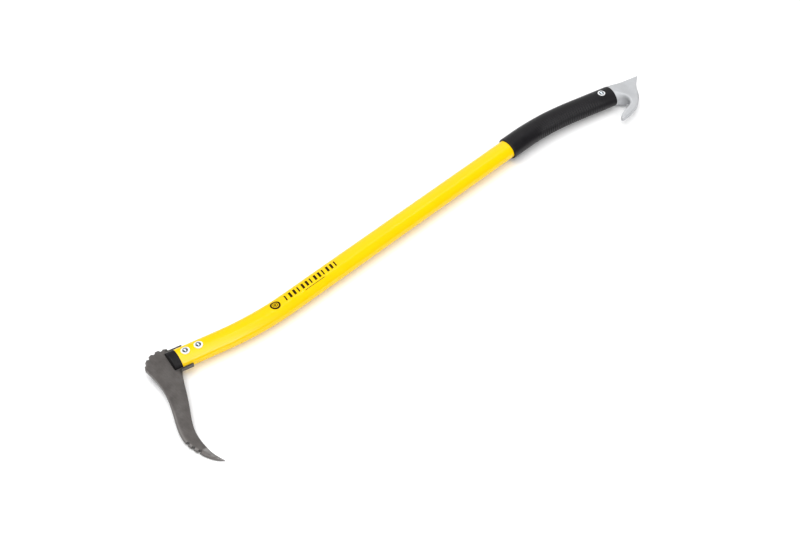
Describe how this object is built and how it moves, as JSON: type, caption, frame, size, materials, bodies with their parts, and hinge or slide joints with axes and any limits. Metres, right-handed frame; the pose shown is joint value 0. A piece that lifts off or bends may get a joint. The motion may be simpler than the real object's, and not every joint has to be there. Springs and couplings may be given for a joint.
{
  "type": "forestry sappie",
  "caption": "Timber pickaroon: toothed forged beak on an S-bent oval tube handle, with a rubber sleeve and a cast end hook.",
  "frame": {"origin": "bottom centre of the tool's bounding box, with the tool lying on its side", "axes": "+X along the middle of the handle from the blade to the grip, +Y away from the side that the blade and the hook point to, +Z across the tool's flat side"},
  "size_m": [1.0646, 0.2158, 0.0364],
  "materials": {
    "forged_steel": "dark tempered forging, lighter where it is ground",
    "yellow_coat": "satin yellow powder coat on aluminium",
    "black_plastic": "matte moulded plastic",
    "black_rubber": "fine-grained rubber with ribs on the blade side",
    "cast_aluminium": "tumbled casting, pale satin grey",
    "zinc_steel": "bright zinc plate"
  },
  "bodies": {
    "root": {"sappie_blade": "forged_steel", "handle_tube": "yellow_coat", "tang_shim_upper": "black_plastic", "tang_shim_lower": "black_plastic", "grip_sleeve": "black_rubber", "end_hook": "cast_aluminium", "grip_rivet": "zinc_steel", "grip_washer_upper": "zinc_steel", "grip_washer_lower": "zinc_steel", "head_rivet_front": "zinc_steel", "head_rivet_rear": "zinc_steel", "head_washer_front_upper": "zinc_steel", "head_washer_front_lower": "zinc_steel", "head_washer_rear_upper": "zinc_steel", "head_washer_rear_lower": "zinc_steel"}
  },
  "joints": []
}
